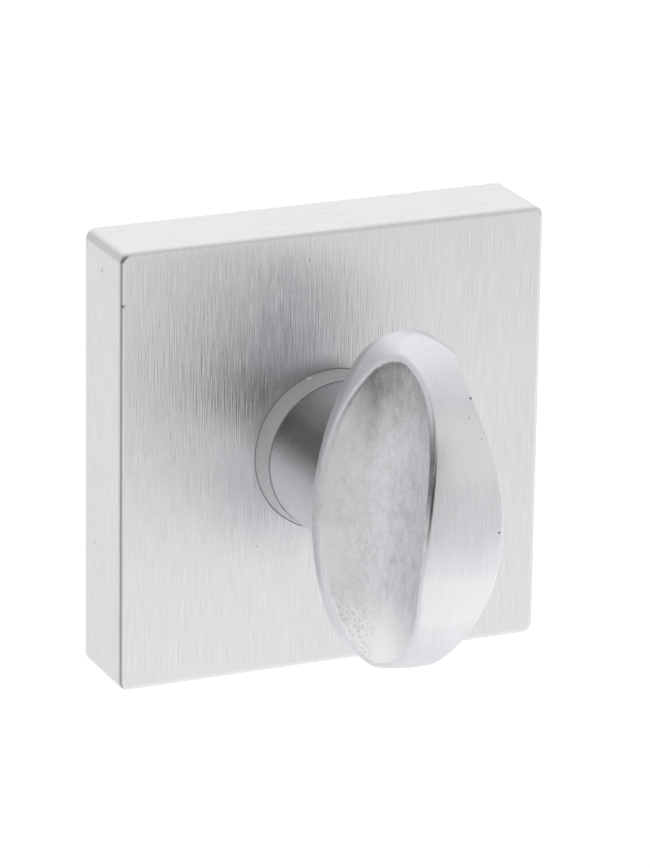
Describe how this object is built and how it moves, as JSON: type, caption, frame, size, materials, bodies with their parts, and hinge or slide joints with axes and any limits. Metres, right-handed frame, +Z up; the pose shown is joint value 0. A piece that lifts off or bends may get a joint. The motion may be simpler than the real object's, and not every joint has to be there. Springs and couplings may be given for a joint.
{
  "type": "bathroom thumb turn",
  "caption": "Square brushed steel rose with a hollowed oval turn knob on a round neck, and a square spindle behind, to work a bathroom door's lock by a quarter turn.",
  "frame": {"origin": "centre of the rose's back, on the spindle's axis, in the plane of the door surface", "axes": "+X right, +Y into the door along the spindle, +Z up; the knob points to -Y"},
  "size_m": [0.05, 0.0867, 0.05],
  "materials": {
    "cover_steel": "brushed",
    "knob_steel": "satin",
    "bush_nylon": "matte",
    "base_moulding": "matte",
    "spring_steel": "dull",
    "plated_steel": "satin"
  },
  "bodies": {
    "rose": {"rose_cover": "cover_steel", "base_plate": "base_moulding", "guide_bush": "bush_nylon", "thrust_washer": "plated_steel"},
    "turn": {"turn_knob": "knob_steel", "spindle": "plated_steel", "spindle_pin": "plated_steel", "retaining_ring": "spring_steel", "wave_washer": "spring_steel"}
  },
  "joints": [
    {"name": "knob_turn", "type": "hinge", "parent": "rose", "child": "turn", "pos_m": [0, 0, 0], "axis": [0, 1, 0], "range_deg": [-94.5, 85.5]}
  ]
}
